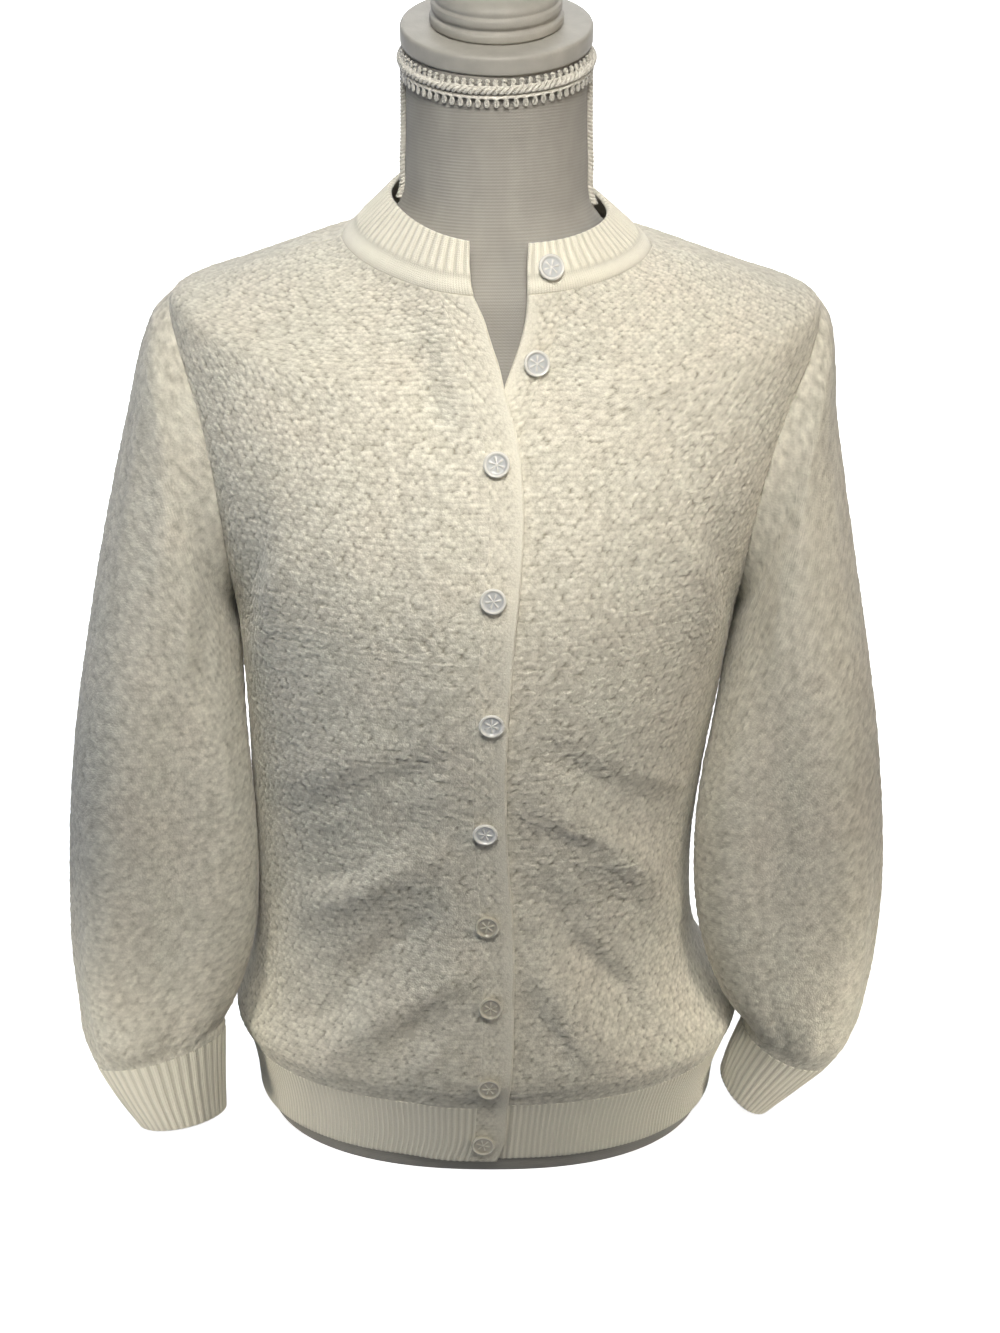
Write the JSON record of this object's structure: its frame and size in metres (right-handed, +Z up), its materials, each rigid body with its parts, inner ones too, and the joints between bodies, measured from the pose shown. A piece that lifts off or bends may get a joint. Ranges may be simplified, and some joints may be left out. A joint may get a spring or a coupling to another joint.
{
  "type": "button cardigan on a dress form",
  "caption": "Cream bubbly-knit button cardigan with ribbed neck, hem and cuffs, worn open at the neck by a limbless white table-top dress form.",
  "frame": {"origin": "on the flat base of the dress form, below the middle of the body", "axes": "+Z up, -Y to the wearer's front, +X to the wearer's left"},
  "size_m": [0.544, 0.2727, 0.7634],
  "materials": {
    "bubbly_knit": "matte, bubbly tuck-stitch knit",
    "rib_knit": "matte, ribbed knit",
    "plain_band_knit": "matte, fine plain knit",
    "form_jersey": "matte white jersey cover",
    "form_paint": "satin white paint on turned wood",
    "gimp_braid": "satin, twisted",
    "button_plastic": "gloss, pearly and half clear"
  },
  "bodies": {
    "root": {"dress_form": "form_jersey", "neck_cap": "form_paint", "neck_knob": "form_paint", "neck_braid_upper": "gimp_braid", "neck_braid_lower": "gimp_braid", "side_braid_right": "gimp_braid", "side_braid_left": "gimp_braid", "right_front": "bubbly_knit", "left_front": "bubbly_knit", "back": "bubbly_knit", "right_sleeve": "bubbly_knit", "left_sleeve": "bubbly_knit", "hem_right_front": "rib_knit", "hem_left_front": "rib_knit", "hem_back": "rib_knit", "right_cuff": "rib_knit", "left_cuff": "rib_knit", "neckband": "rib_knit", "buttonhole_band": "plain_band_knit", "button_band": "plain_band_knit", "button_1": "button_plastic", "button_2": "button_plastic", "button_3": "button_plastic", "button_4": "button_plastic", "button_5": "button_plastic", "button_6": "button_plastic", "button_7": "button_plastic", "button_8": "button_plastic", "button_9": "button_plastic", "button_10": "button_plastic"}
  },
  "joints": []
}
